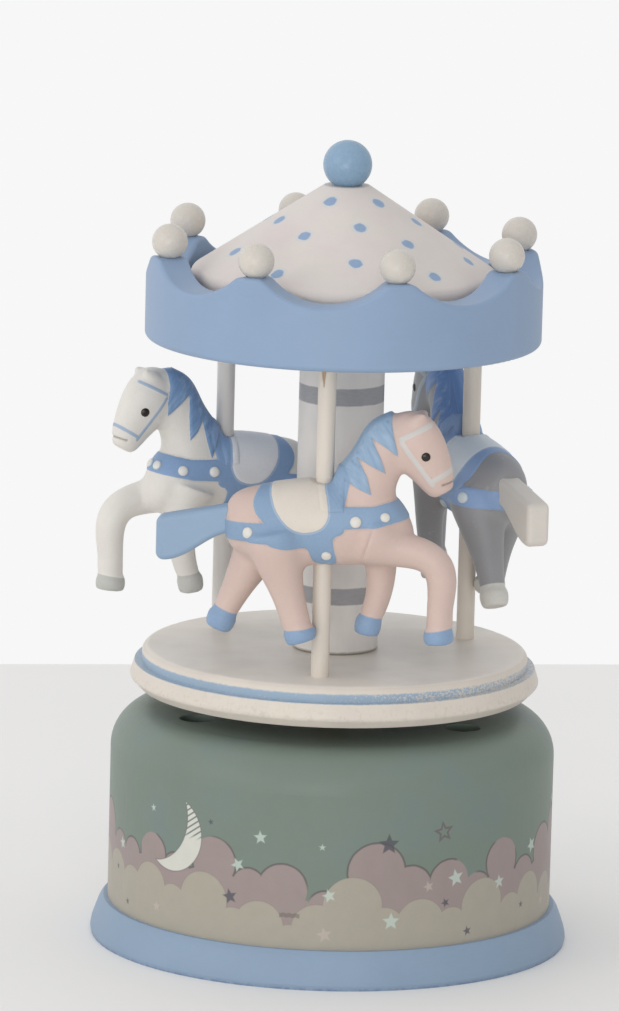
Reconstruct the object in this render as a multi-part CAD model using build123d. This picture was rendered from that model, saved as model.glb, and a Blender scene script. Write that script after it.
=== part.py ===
from build123d import *
from math import atan2, cos, degrees, hypot, pi, radians, sin
import os

# Carousel music box. Millimetres, +Z up. The origin is the centre of the underside of the base,
# on the axis that the carousel turns about. The front faces -Y.

# ---------------------------------------------------------------- case
drum_radius = 37.2
drum_height = 32.8
drum_shoulder_round = 7.0
drum_wall = 4.0
drum_roof = 5.5
drum_eye_radius = 4.0
flange_height = 6.2
flange_overhang = 2.8
flange_shoulder_overhang = 2.1
flange_shoulder_height = 3.5
flange_waist_overhang = 0.7
flange_foot_height = 0.8
flange_foot_inset = 0.2
spigot_height = 2.0
spigot_clearance = 0.2

# ---------------------------------------------------------------- case screws
case_screw_count = 3
case_screw_angle = 30.0
case_screw_radius = 1.0
case_screw_head_radius = 2.0
case_screw_head_height = 1.2
case_screw_recess = 0.4
case_screw_grip = 7.8
bed_screw_count = 3
bed_screw_angle = -152.4
bed_screw_circle = 25.5
bed_screw_radius = 1.2
bed_screw_head_radius = 2.2
bed_screw_head_height = 1.4
bed_counterbore_radius = 3.0
bed_counterbore_depth = 3.0
screw_slot_width = 0.6
screw_slot_depth = 0.5
screw_clearance = 0.15
pocket_clearance = 0.2

# ---------------------------------------------------------------- turntable
turntable_gap = 3.6
turntable_radius = 34.3
turntable_thickness = 6.7
turntable_foot_inset = 1.6
turntable_widest_height = 1.6
turntable_edge_round = 0.8
lip_inset = 0.8
lip_height = 4.1
stage_inset = 2.0
stage_round = 1.3
insert_flange_radius = 5.0
insert_flange_height = 1.2
insert_sleeve_radius = 3.2
insert_depth = 3.6

# ---------------------------------------------------------------- column and poles
column_height = 52.3
column_radius = 7.1
column_edge_round = 0.4
column_spigot_radius = 4.0
column_spigot_length = 2.0
pole_radius = 1.5
pole_circle = 24.0
pole_socket_depth = 3.0
front_pole_angle = -95.9

# ---------------------------------------------------------------- canopy
crown_radius = 33.0
crown_height = 14.5
crown_wall = 5.7
crown_floor = 4.0
crown_edge_round = 0.9
crown_points = 8
crown_point_angle = -73.75
crown_flat_width = 4.5
crown_dip = 4.0
crown_peak_round = 2.5
crown_top_round = 0.7
bead_radius = 2.96
bead_inset = 2.8
bead_sink = 0.46
bead_tenon_radius = 1.0
bead_tenon_length = 2.5
roof_clearance = 1.7
roof_skirt_height = 7.5
roof_cone_height = 14.4
roof_edge_round = 1.8
roof_top_radius = 3.8
finial_radius = 4.07
finial_lift = 3.43
finial_tenon_radius = 1.5
finial_tenon_length = 4.0

# ---------------------------------------------------------------- horses
# The horses are drawn for this height of column, and grow or shrink with it. Then come each saddle's
# height above the turntable, and how far its horse is turned from the line of travel.
horse_drawn_column = 52.3
horse_names = ("pink", "grey", "white")
saddle_lifts = (33.1, 35.3, 33.5)
horse_turns = (0.0, 0.0, -25.0)
leg_offset = 2.8
tail_thickness = 4.0
tail_round = 0.9
tail_corner = 1.3

# ---------------------------------------------------------------- spring and winding arbor
bed_rim_clearance = 1.8
bed_thickness = 2.0
shaft_clearance = 0.05
side_gap = 0.4
arbor_radius = 2.0
arbor_tail = 1.6
barrel_radius = 8.0
barrel_wall = 0.7
barrel_height = 12.0
barrel_floor = 1.2
barrel_headroom = 0.7
barrel_cover_thickness = 0.6
barrel_arm_width = 3.0
barrel_arm_angles = (90, 180, 270)
pillar_radius = 1.3
pillar_circle = 12.6
spring_thickness = 0.3
spring_inner_radius = 2.9
spring_outer_radius = 6.8
spring_turns = 5
spring_gap = 0.6
spring_points_per_turn = 8

# ---------------------------------------------------------------- gears
crown_gear_teeth = 30
crown_gear_radius = 9.5
crown_gear_face = 1.2
crown_gear_disc = 1.5
crown_gear_hub_radius = 3.2
crown_gear_hub_gap = 0.3
drive_pinion_teeth = 12
tooth_addendum = 0.55
tooth_dedendum = 0.75
tooth_half_width = 0.36
tooth_flank_slope = 0.36
gear_width = 1.2
clutch_wire_radius = 0.24
clutch_coil_gap = 0.12
clutch_fit = 0.02
clutch_coils = 3

# ---------------------------------------------------------------- pinned cylinder
cylinder_drop = 9.0
cylinder_radius = 5.5
cylinder_wall = 0.6
cylinder_start = 12.8
cylinder_shaft_radius = 1.0
cylinder_shaft_start = 8.4
cylinder_gear_teeth = 24
cylinder_gear_overhang = 1.7
note_count = 18
note_pitch = 0.72
pins_per_note = 4
pin_radius = 0.2
pin_height = 0.5
pin_turn_step = 137.5
bracket_thickness = 1.2
bracket_half_width = 3.0
bracket_foot = 2.6

# ---------------------------------------------------------------- comb
comb_gap = 0.25
comb_tooth_length = 8.0
comb_tooth_width = 0.5
comb_tooth_thickness = 0.6
comb_plate_depth = 4.5
comb_plate_thickness = 1.2
comb_screw_radius = 0.9
comb_screw_head_radius = 1.6
comb_screw_head_height = 0.9
comb_screw_length = 5.0
comb_screw_shares = (0.25, 0.75)

# ---------------------------------------------------------------- governor
governor_pinion_teeth = 10
governor_shaft_radius = 0.7
governor_shaft_reach = 3.6
governor_bracket_trim = 0.6
worm_wheel_teeth = 14
worm_wheel_width = 0.6
worm_wheel_x = 20.0
worm_tooth_addendum = 0.4
worm_tooth_dedendum = 0.8
worm_tooth_half_width = 0.22
worm_tooth_slope = 0.25
worm_pitch = 1.4
worm_mesh_turn = 0.75
worm_starts = 2
worm_turns = 3
worm_pitch_radius = 1.5
worm_core_radius = 0.9
worm_thread_radius = 1.9
worm_thread_base = 0.56
worm_thread_tip = 0.28
worm_thread_root = 0.15
fly_shaft_radius = 0.5
fly_pivot_depth = 1.0
fly_pivot_gap = 0.2
fly_half_span = 4.0
fly_height = 6.0
fly_thickness = 0.5
fly_hub_radius = 1.0
fly_floor_gap = 1.2
fly_bracket_gap = 0.4

# ---------------------------------------------------------------- sizes that follow from those above
drum_top = flange_height + drum_height
cavity_radius = drum_radius - drum_wall
cavity_top = drum_top - drum_roof
spigot_radius = cavity_radius - spigot_clearance
case_screw_circle = drum_radius - drum_wall / 2
case_screw_seat = case_screw_recess + case_screw_head_height
case_screw_top = flange_height + case_screw_grip
bed_radius = cavity_radius - bed_rim_clearance
bed_bottom = cavity_top - bed_thickness
bed_screw_seat = drum_top - bed_counterbore_depth

turntable_bottom = drum_top + turntable_gap
stage_top = turntable_bottom + turntable_thickness
stage_radius = turntable_radius - stage_inset
insert_bottom = turntable_bottom - insert_flange_height
arbor_top = turntable_bottom + insert_depth
pole_spacing = 360 / len(horse_names)
horse_size = column_height / horse_drawn_column

crown_bottom = stage_top + column_height
crown_peak = crown_bottom + crown_height
crown_valley = crown_peak - crown_dip
crown_inner_radius = crown_radius - crown_wall
crown_floor_top = crown_bottom + crown_floor
bead_circle = crown_radius - bead_inset
bead_center_height = crown_peak + bead_radius - bead_sink
roof_skirt_radius = crown_inner_radius - roof_clearance
roof_skirt_top = crown_floor_top + roof_skirt_height
roof_top = roof_skirt_top + roof_cone_height
finial_center_height = roof_top + finial_lift

cylinder_height = bed_bottom - cylinder_drop
cylinder_end = cylinder_start + note_count * note_pitch
cylinder_gear_radius = cylinder_radius + cylinder_gear_overhang
drive_pinion_radius = crown_gear_radius * drive_pinion_teeth / crown_gear_teeth
crown_gear_pitch_height = cylinder_height + drive_pinion_radius
crown_tooth_root = crown_gear_pitch_height + tooth_dedendum
crown_tooth_tip = crown_gear_pitch_height - tooth_addendum
crown_gear_inner = crown_gear_radius - crown_gear_face / 2
crown_gear_outer = crown_gear_radius + crown_gear_face / 2
crown_gear_top = crown_tooth_root + crown_gear_disc
barrel_top = crown_tooth_tip - barrel_headroom
barrel_bottom = barrel_top - barrel_height
barrel_floor_top = barrel_bottom + barrel_floor
barrel_cover_bottom = barrel_top - barrel_cover_thickness
cylinder_gear_start = cylinder_end + side_gap
outer_bracket_start = cylinder_gear_start + gear_width + side_gap
shaft_end = outer_bracket_start + bracket_thickness + side_gap
bracket_bottom = cylinder_height - bracket_foot
comb_tip_y = -(cylinder_radius + pin_height + comb_gap)
comb_root_y = comb_tip_y - comb_tooth_length
comb_back_y = comb_root_y - comb_plate_depth
comb_underside = cylinder_height - comb_plate_thickness / 2
governor_pinion_radius = cylinder_gear_radius * governor_pinion_teeth / cylinder_gear_teeth
governor_y = cylinder_gear_radius + governor_pinion_radius
governor_shaft_start = worm_wheel_x - governor_shaft_reach
worm_wheel_radius = worm_wheel_teeth * worm_pitch / (2 * pi)
worm_lead = worm_pitch * worm_starts
worm_length = worm_turns * worm_lead
fly_y = governor_y + worm_wheel_radius + worm_pitch_radius
fly_bracket_bottom = flange_height + spigot_height + fly_floor_gap
fly_bottom = fly_bracket_bottom + bracket_thickness + fly_bracket_gap
fly_plate_y = fly_y + fly_half_span + 2 * fly_bracket_gap

os.makedirs("parts", exist_ok=True)
UPWARD = (Align.CENTER, Align.CENTER, Align.MIN)


def save(shape, node):
    export_step(shape, "parts/" + node + ".step")


def post(radius, bottom, top, x=0.0, y=0.0):
    return Pos(x, y, bottom) * Cylinder(radius, top - bottom, align=UPWARD)


def lying_post(radius, start, end, y=0.0, z=0.0):
    return Pos(start, y, z) * Rot(0, 90, 0) * Cylinder(radius, end - start, align=UPWARD)


def block(x0, x1, y0, y1, z0, z1):
    center = Pos((x0 + x1) / 2, (y0 + y1) / 2, (z0 + z1) / 2)
    return center * Box(x1 - x0, y1 - y0, z1 - z0)


def turned(points):
    return revolve(Plane.XZ * make_face(Polyline(*points, close=True)), Axis.Z)


def round_edges(shape, radius, height, size):
    picked = [e for e in shape.edges().filter_by(GeomType.CIRCLE)
              if abs(e.radius - radius) < 0.01 and abs(e.center().Z - height) < 0.01]
    return fillet(picked, size)


def on_circle(radius, angle):
    return radius * cos(radians(angle)), radius * sin(radians(angle))


def screw(shaft_radius, head_radius, tip, seat, head_top, x, y):
    # A slotted screw with its head upward.
    body = post(shaft_radius, tip, seat, x, y) + post(head_radius, seat, head_top, x, y)
    slot = block(x - head_radius, x + head_radius, y - screw_slot_width / 2, y + screw_slot_width / 2,
                 head_top - screw_slot_depth, head_top)
    return body - slot


def hanging_screw(shaft_radius, head_radius, head_bottom, seat, tip, x, y):
    # The same screw with its head downward.
    body = post(head_radius, head_bottom, seat, x, y) + post(shaft_radius, seat, tip, x, y)
    slot = block(x - head_radius, x + head_radius, y - screw_slot_width / 2, y + screw_slot_width / 2,
                 head_bottom, head_bottom + screw_slot_depth)
    return body - slot


def gear_blank(teeth, pitch_radius, half_width, slope, above, below, first_tooth):
    # Straight-flanked teeth, narrower than half the pitch so that the mesh has play all round.
    corners = []
    for tooth in range(teeth):
        middle = first_tooth + 360 * tooth / teeth
        for reach, side in ((-below, -1), (above, -1), (above, 1), (-below, 1)):
            radius = pitch_radius + reach
            half = half_width - reach * slope
            angle = radians(middle) + side * half / radius
            corners.append((radius * cos(angle), radius * sin(angle)))
    return make_face(Polyline(*corners, close=True))


def spur_gear(teeth, pitch_radius, bore, width, first_tooth):
    # Teeth are counted from local X. The gear lies on the XY plane.
    face = gear_blank(teeth, pitch_radius, tooth_half_width, tooth_flank_slope,
                      tooth_addendum, tooth_dedendum, first_tooth)
    return extrude(face - Circle(bore), width)


def along_x(shape, x, y, z):
    # Local X turns to +Y and local Y to +Z, so the gear's axis lies along +X.
    frame = Plane(origin=(x, y, z), x_dir=(0, 1, 0), z_dir=(1, 0, 0))
    return frame.location * shape


# ================================================================ case
flange_radius = drum_radius + flange_overhang
flange_shoulder = (drum_radius + flange_shoulder_overhang, flange_shoulder_height)
flange_foot = (flange_radius, flange_foot_height)
flange_waist = (drum_radius + flange_waist_overhang, flange_height)
flange_side = Spline(flange_foot, flange_shoulder, flange_waist, tangents=((-0.05, 1), (-1, 0.9)))
flange_rest = Polyline(flange_waist, (spigot_radius, flange_height),
                       (spigot_radius, flange_height + spigot_height), (0, flange_height + spigot_height),
                       (0, 0), (flange_radius - flange_foot_inset, 0), flange_foot)
base_flange = revolve(Plane.XZ * make_face([flange_rest, flange_side]), Axis.Z)

drum_shell = turned([
    (drum_eye_radius, drum_top),
    (drum_radius, drum_top),
    (drum_radius, flange_height),
    (cavity_radius, flange_height),
    (cavity_radius, cavity_top),
    (drum_eye_radius, cavity_top),
])
drum_shell = round_edges(drum_shell, drum_radius, drum_top, drum_shoulder_round)

case_screws = []
for index in range(case_screw_count):
    x, y = on_circle(case_screw_circle, case_screw_angle + index * 360 / case_screw_count)
    case_screws.append(hanging_screw(case_screw_radius, case_screw_head_radius, case_screw_recess,
                                     case_screw_seat, case_screw_top, x, y))
    base_flange -= post(case_screw_head_radius + pocket_clearance, 0, case_screw_seat, x, y)
    base_flange -= post(case_screw_radius + screw_clearance, case_screw_seat, flange_height, x, y)
    drum_shell -= post(case_screw_radius, flange_height, case_screw_top, x, y)

bedplate = post(bed_radius, bed_bottom, cavity_top)
bedplate -= post(arbor_radius + shaft_clearance, bed_bottom, cavity_top)
bed_screws = []
for index in range(bed_screw_count):
    x, y = on_circle(bed_screw_circle, bed_screw_angle + index * 360 / bed_screw_count)
    bed_screws.append(screw(bed_screw_radius, bed_screw_head_radius, bed_bottom, bed_screw_seat,
                            bed_screw_seat + bed_screw_head_height, x, y))
    drum_shell -= post(bed_counterbore_radius, bed_screw_seat, drum_top, x, y)
    drum_shell -= post(bed_screw_radius + screw_clearance, cavity_top, bed_screw_seat, x, y)
    bedplate -= post(bed_screw_radius, bed_bottom, cavity_top, x, y)

save(base_flange, "base_flange")
save(drum_shell, "drum_shell")
save(Compound(case_screws), "case_screws")
save(Compound(bed_screws), "movement_screws")

# ================================================================ turntable
lip_top = turntable_bottom + lip_height
turntable_widest = turntable_bottom + turntable_widest_height
turntable = turned([
    (0, turntable_bottom),
    (turntable_radius - turntable_foot_inset, turntable_bottom),
    (turntable_radius, turntable_widest),
    (turntable_radius - lip_inset, lip_top),
    (stage_radius, lip_top),
    (stage_radius, stage_top),
    (0, stage_top),
])
turntable = round_edges(turntable, stage_radius, stage_top, stage_round)
turntable = round_edges(turntable, turntable_radius, turntable_widest, turntable_edge_round)
turntable -= post(insert_sleeve_radius, turntable_bottom, arbor_top)
turntable -= post(column_spigot_radius, stage_top - column_spigot_length, stage_top)

turntable_insert = post(insert_flange_radius, insert_bottom, turntable_bottom)
turntable_insert += post(insert_sleeve_radius, turntable_bottom, arbor_top)
turntable_insert -= post(arbor_radius, insert_bottom, arbor_top)
save(turntable_insert, "turntable_insert")

# ================================================================ column
center_column = post(column_radius, stage_top, crown_bottom)
center_column = round_edges(center_column, column_radius, stage_top, column_edge_round)
center_column += post(column_spigot_radius, stage_top - column_spigot_length, stage_top)
center_column += post(column_spigot_radius, crown_bottom, crown_bottom + column_spigot_length)
save(center_column, "center_column")

# ================================================================ canopy
crown = post(crown_radius, crown_bottom, crown_peak)
crown = round_edges(crown, crown_radius, crown_bottom, crown_edge_round)
crown -= post(crown_inner_radius, crown_floor_top, crown_peak)
crown -= post(column_spigot_radius, crown_bottom, crown_bottom + column_spigot_length)

# Each dip between two peaks is part of a circle that grows with its distance from the axis.
dip_half_angle = 180 / crown_points - degrees(crown_flat_width / 2 / crown_radius)
dip_half_width = crown_radius * radians(dip_half_angle)
dip_radius = (dip_half_width ** 2 + crown_dip ** 2) / (2 * crown_dip)
dip_overrun = 2.0


def dip_circle(distance):
    radius = dip_radius * distance / crown_radius
    middle = Plane(origin=(distance, 0, crown_valley + radius), x_dir=(0, 1, 0), z_dir=(1, 0, 0))
    return middle * Circle(radius)


dip_ends = [dip_circle(crown_inner_radius - dip_overrun), dip_circle(crown_radius + dip_overrun)]
dip_cutter = loft(dip_ends, ruled=True)
for index in range(crown_points):
    crown -= Rot(0, 0, crown_point_angle + (index + 0.5) * 360 / crown_points) * dip_cutter


def runs_in_to_out(edge):
    start, end = edge @ 0, edge @ 1
    at_peak = abs(start.Z - crown_peak) < 0.01 and abs(end.Z - crown_peak) < 0.01
    return at_peak and abs(hypot(start.X, start.Y) - hypot(end.X, end.Y)) > 0.9 * crown_wall


def runs_round_top(edge):
    places = [edge @ share for share in (0, 0.5, 1)]
    if min(place.Z for place in places) < crown_valley - 0.2:
        return False
    reaches = [hypot(place.X, place.Y) for place in places]
    return (max(abs(reach - crown_radius) for reach in reaches) < 0.05
            or max(abs(reach - crown_inner_radius) for reach in reaches) < 0.05)


crown = fillet([e for e in crown.edges() if runs_in_to_out(e)], crown_peak_round)
crown = fillet([e for e in crown.edges() if runs_round_top(e)], crown_top_round)
for index in range(crown_points):
    x, y = on_circle(bead_circle, crown_point_angle + index * 360 / crown_points)
    tenon_bottom = crown_peak - bead_tenon_length
    crown -= post(bead_tenon_radius, tenon_bottom, crown_peak, x, y)
    ball = Pos(x, y, bead_center_height) * Sphere(bead_radius)
    ball -= post(2 * bead_radius, crown_peak - 2 * bead_radius, crown_peak, x, y)
    save(ball + post(bead_tenon_radius, tenon_bottom, crown_peak, x, y), "crown_bead_" + str(index + 1))

canopy_roof = turned([
    (0, crown_floor_top),
    (roof_skirt_radius, crown_floor_top),
    (roof_skirt_radius, roof_skirt_top),
    (roof_top_radius, roof_top),
    (0, roof_top),
])
canopy_roof = round_edges(canopy_roof, roof_skirt_radius, roof_skirt_top, roof_edge_round)
canopy_roof -= post(finial_tenon_radius, roof_top - finial_tenon_length, roof_top)
save(canopy_roof, "canopy_roof")

finial = Pos(0, 0, finial_center_height) * Sphere(finial_radius)
finial -= post(finial_radius, finial_center_height - 2 * finial_radius, roof_top)
finial += post(finial_tenon_radius, roof_top - finial_tenon_length, roof_top)
save(finial, "roof_finial")

# ================================================================ horse
# The horse is drawn with its pole along Z and its nose along +X. Heights are below (-) or above the saddle.


def oval(x, z, tilt, across, wide, y=0.0):
    # A cross-section whose normal is tilted up from +X by the given angle.
    normal = (cos(radians(tilt)), 0, sin(radians(tilt)))
    return Plane(origin=(x, y, z), x_dir=(0, 1, 0), z_dir=normal) * Ellipse(wide, across)


def limb(y, stations):
    # Round sections along a line of (x, z, radius) stations.
    sections = []
    for index, (x, z, radius) in enumerate(stations):
        before = stations[max(index - 1, 0)]
        after = stations[min(index + 1, len(stations) - 1)]
        tilt = degrees(atan2(after[1] - before[1], after[0] - before[0]))
        sections.append(oval(x, z, tilt, radius, radius, y))
    return loft(sections)


torso = loft([
    oval(-16.0, -7.6, 0, 1.6, 1.2),
    oval(-15.4, -7.6, 0, 3.8, 2.9),
    oval(-13.4, -7.7, 0, 5.4, 4.4),
    oval(-9.5, -7.7, 0, 6.4, 5.3),
    oval(-3.5, -7.4, 0, 7.1, 5.5),
    oval(2.5, -7.1, 0, 7.1, 5.4),
    oval(7.5, -7.1, 0, 6.8, 5.1),
    oval(11.2, -7.7, 0, 5.6, 4.4),
    oval(13.7, -8.7, 0, 3.6, 3.0),
    oval(14.8, -9.2, 0, 1.5, 1.2),
])
neck = loft([
    oval(8.2, -8.4, 57, 4.4, 3.6),
    oval(7.3, -4.8, 57, 6.9, 4.6),
    oval(7.2, -0.7, 58, 5.6, 3.9),
    oval(8.1, 2.1, 54, 4.6, 3.4),
    oval(9.5, 4.9, 52, 4.5, 3.1),
    oval(11.2, 7.9, 52, 3.9, 2.8),
    oval(12.4, 10.2, 52, 2.3, 1.9),
])
head = loft([
    oval(12.6, 10.4, -50, 2.4, 1.9),
    oval(13.7, 8.6, -54, 4.0, 2.9),
    oval(15.2, 5.8, -56, 4.6, 3.2),
    oval(17.4, 2.6, -56, 3.7, 2.7),
    oval(18.9, -0.1, -58, 2.7, 2.2),
    oval(19.6, -1.5, -60, 1.6, 1.5),
])
poll = loft([
    oval(8.6, 8.1, 24, 1.6, 1.8),
    oval(10.6, 9.1, 20, 1.8, 2.1),
    oval(12.8, 9.9, 14, 1.8, 2.1),
    oval(14.8, 10.7, 12, 1.3, 1.7),
    oval(15.7, 11.1, 12, 0.6, 1.0),
])
horse = torso + neck + head + poll
for side in (-1, 1):
    ear = loft([
        oval(13.6, 9.2, 38, 1.5, 1.2, side * 1.3),
        oval(15.4, 10.8, 38, 1.1, 0.9, side * 1.6),
        oval(16.4, 11.6, 38, 0.4, 0.3, side * 1.7),
    ])
    horse += ear

limbs = (
    (-leg_offset, ((8.0, -9.2, 4.2), (12.3, -10.5, 3.1), (16.2, -11.3, 2.7), (19.1, -13.2, 2.6),
                   (20.0, -16.6, 2.4), (19.8, -20.4, 2.15), (19.6, -24.3, 1.95))),
    (leg_offset, ((7.6, -8.5, 4.2), (9.0, -12.4, 3.0), (9.4, -16.4, 2.4), (8.9, -20.2, 2.1),
                  (7.6, -23.9, 1.8))),
    (-leg_offset, ((-8.0, -8.5, 4.8), (-7.0, -13.0, 4.2), (-5.9, -17.0, 3.1), (-4.6, -21.2, 2.5),
                   (-3.5, -25.0, 2.25))),
    (leg_offset, ((-8.6, -8.5, 4.8), (-11.0, -12.8, 4.1), (-13.2, -17.0, 3.0), (-15.1, -20.9, 2.3),
                  (-16.7, -24.2, 2.0))),
)
hooves = (
    (-leg_offset, ((19.6, -23.7, 2.2), (19.7, -25.1, 2.5), (19.8, -26.1, 2.25))),
    (leg_offset, ((7.7, -23.6, 2.1), (7.4, -25.0, 2.2), (7.2, -26.2, 1.95))),
    (-leg_offset, ((-3.4, -24.7, 2.5), (-3.1, -25.8, 2.65), (-2.8, -26.8, 2.35))),
    (leg_offset, ((-16.5, -23.8, 2.35), (-17.0, -25.1, 2.4), (-17.5, -26.3, 2.0))),
)
for y, stations in limbs + hooves:
    horse += limb(y, stations)

tail_top = Spline((-14.0, -4.6), (-20.2, -5.8), (-27.5, -7.3))
tail_end = Line((-27.5, -7.3), (-27.5, -14.4))
tail_under = Spline((-27.5, -14.4), (-24.2, -14.1), (-20.6, -12.1), (-14.0, -9.3))
tail_root = Line((-14.0, -9.3), (-14.0, -4.6))
tail_face = make_face(tail_top + tail_end + tail_under + tail_root)
tail_face = fillet(tail_face.vertices().group_by(Axis.X)[0], tail_corner)
tail = extrude(Plane.XZ * tail_face, tail_thickness / 2, both=True)
tail_rims = [e for e in tail.edges() if abs((e @ 0).Y - (e @ 1).Y) < 0.01]
tail = fillet(tail_rims, tail_round)
tail -= horse
tail = max(tail.solids(), key=lambda solid: solid.volume)
horse = scale(horse, by=horse_size)
tail = scale(tail, by=horse_size)
horse -= Cylinder(pole_radius, 2 * column_height)

pole_bottom = stage_top - pole_socket_depth
pole_top = crown_bottom + pole_socket_depth
for index, name in enumerate(horse_names):
    angle = front_pole_angle + index * pole_spacing
    x, y = on_circle(pole_circle, angle)
    saddle_height = stage_top + saddle_lifts[index] * horse_size
    place = Pos(x, y, saddle_height) * Rot(0, 0, angle + 90 + horse_turns[index])
    save(place * horse, "horse_" + name)
    save(place * tail, "tail_" + name)
    save(post(pole_radius, pole_bottom, pole_top, x, y), "pole_" + name)
    turntable -= post(pole_radius, pole_bottom, stage_top, x, y)
    crown -= post(pole_radius, crown_bottom, pole_top, x, y)
save(turntable, "turntable")
save(crown, "canopy_crown")

# ================================================================ spring and winding arbor
save(post(arbor_radius, barrel_bottom - arbor_tail, arbor_top), "winding_arbor")

barrel = post(barrel_radius, barrel_bottom, barrel_top)
barrel -= post(barrel_radius - barrel_wall, barrel_floor_top, barrel_top)
pillars = []
for angle in barrel_arm_angles:
    arm = block(0, pillar_circle, -barrel_arm_width / 2, barrel_arm_width / 2,
                barrel_bottom, barrel_floor_top)
    arm += post(barrel_arm_width / 2, barrel_bottom, barrel_floor_top, pillar_circle)
    barrel += Rot(0, 0, angle) * arm
    x, y = on_circle(pillar_circle, angle)
    pillars.append(post(pillar_radius, barrel_floor_top, bed_bottom, x, y))
barrel -= post(arbor_radius + shaft_clearance, barrel_bottom, barrel_top)
save(barrel, "spring_barrel")
save(Compound(pillars), "barrel_pillars")

barrel_cover = post(barrel_radius - barrel_wall, barrel_cover_bottom, barrel_top)
barrel_cover -= post(arbor_radius + shaft_clearance, barrel_cover_bottom, barrel_top)
save(barrel_cover, "barrel_cover")


def spiral_edge(shift):
    points = []
    steps = spring_turns * spring_points_per_turn
    for step in range(steps + 1):
        radius = spring_inner_radius + (spring_outer_radius - spring_inner_radius) * step / steps + shift
        points.append(on_circle(radius, 360 * step / spring_points_per_turn))
    return points


spring_inside = spiral_edge(-spring_thickness / 2)
spring_outside = spiral_edge(spring_thickness / 2)
spring_face = make_face([
    Spline(*spring_inside),
    Line(spring_inside[-1], spring_outside[-1]),
    Spline(*reversed(spring_outside)),
    Line(spring_outside[0], spring_inside[0]),
])
spring_bottom = barrel_floor_top + spring_gap
spring_width = barrel_cover_bottom - spring_gap - spring_bottom
save(Pos(0, 0, spring_bottom) * extrude(spring_face, spring_width), "mainspring")

# ================================================================ great wheel and clutch spring
great_wheel = post(crown_gear_outer, crown_tooth_root, crown_gear_top)
great_wheel += post(crown_gear_hub_radius, crown_gear_top, bed_bottom - crown_gear_hub_gap)
root_half = tooth_half_width + tooth_dedendum * tooth_flank_slope
tip_half = tooth_half_width - tooth_addendum * tooth_flank_slope
tooth_face = Plane.YZ * make_face(Polyline((-root_half, crown_tooth_root), (-tip_half, crown_tooth_tip),
                                           (tip_half, crown_tooth_tip), (root_half, crown_tooth_root),
                                           close=True))
crown_tooth = Pos(crown_gear_inner, 0, 0) * extrude(tooth_face, crown_gear_face)
for tooth in range(crown_gear_teeth):
    # Half a pitch round, so that a gap faces the pinion.
    great_wheel += Rot(0, 0, (tooth + 0.5) * 360 / crown_gear_teeth) * crown_tooth
great_wheel -= post(arbor_radius, crown_tooth_tip, cavity_top)
save(great_wheel, "great_wheel")

coil_pitch = 2 * clutch_wire_radius + clutch_coil_gap
coil = Helix(coil_pitch, clutch_coils * coil_pitch, crown_gear_hub_radius + clutch_wire_radius + clutch_fit)
coil_start = Plane(origin=coil @ 0, z_dir=coil % 0)
clutch_spring = sweep(coil_start * Circle(clutch_wire_radius), path=coil)
clutch_lift = crown_gear_top + clutch_wire_radius + clutch_fit
save(Pos(0, 0, clutch_lift) * clutch_spring, "clutch_spring")

# ================================================================ pinned cylinder
shell = lying_post(cylinder_radius, cylinder_start, cylinder_end)
shell -= lying_post(cylinder_radius - cylinder_wall, cylinder_start + cylinder_wall,
                    cylinder_end - cylinder_wall)
pins = []
for note in range(note_count):
    x = cylinder_start + (note + 0.5) * note_pitch
    for pin in range(pins_per_note):
        turn = (note * pins_per_note + pin) * pin_turn_step
        pins.append(Rot(turn, 0, 0) * post(pin_radius, cylinder_radius - cylinder_wall / 2,
                                           cylinder_radius + pin_height, x))
shell = shell.fuse(*pins)
shell -= lying_post(cylinder_shaft_radius, cylinder_start, cylinder_end)
save(Pos(0, 0, cylinder_height) * shell, "cylinder_shell")

save(lying_post(cylinder_shaft_radius, cylinder_shaft_start, shaft_end, 0, cylinder_height), "cylinder_shaft")
drive_pinion = spur_gear(drive_pinion_teeth, drive_pinion_radius, cylinder_shaft_radius, crown_gear_face, 90)
save(along_x(drive_pinion, crown_gear_inner, 0, cylinder_height), "drive_pinion")
cylinder_gear = spur_gear(cylinder_gear_teeth, cylinder_gear_radius, cylinder_shaft_radius, gear_width, 0)
save(along_x(cylinder_gear, cylinder_gear_start, 0, cylinder_height), "cylinder_gear")

# ================================================================ comb
comb = block(cylinder_start, cylinder_end, comb_back_y, comb_root_y,
             cylinder_height - comb_plate_thickness / 2, cylinder_height + comb_plate_thickness / 2)
for note in range(note_count):
    x = cylinder_start + (note + 0.5) * note_pitch
    comb += block(x - comb_tooth_width / 2, x + comb_tooth_width / 2, comb_root_y, comb_tip_y,
                  cylinder_height - comb_tooth_thickness / 2, cylinder_height + comb_tooth_thickness / 2)
heel = block(cylinder_start, cylinder_end, comb_back_y, comb_root_y,
             cylinder_height + comb_plate_thickness / 2, bed_bottom)
comb_screws = []
for share in comb_screw_shares:
    x = cylinder_start + share * (cylinder_end - cylinder_start)
    y = (comb_root_y + comb_back_y) / 2
    comb_screws.append(hanging_screw(comb_screw_radius, comb_screw_head_radius,
                                     comb_underside - comb_screw_head_height, comb_underside,
                                     comb_underside + comb_screw_length, x, y))
    comb -= post(comb_screw_radius, comb_underside, comb_underside + comb_screw_length, x, y)
    heel -= post(comb_screw_radius, comb_underside, comb_underside + comb_screw_length, x, y)
save(comb, "note_comb")
save(heel, "comb_heel")
save(Compound(comb_screws), "comb_screws")

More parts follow.
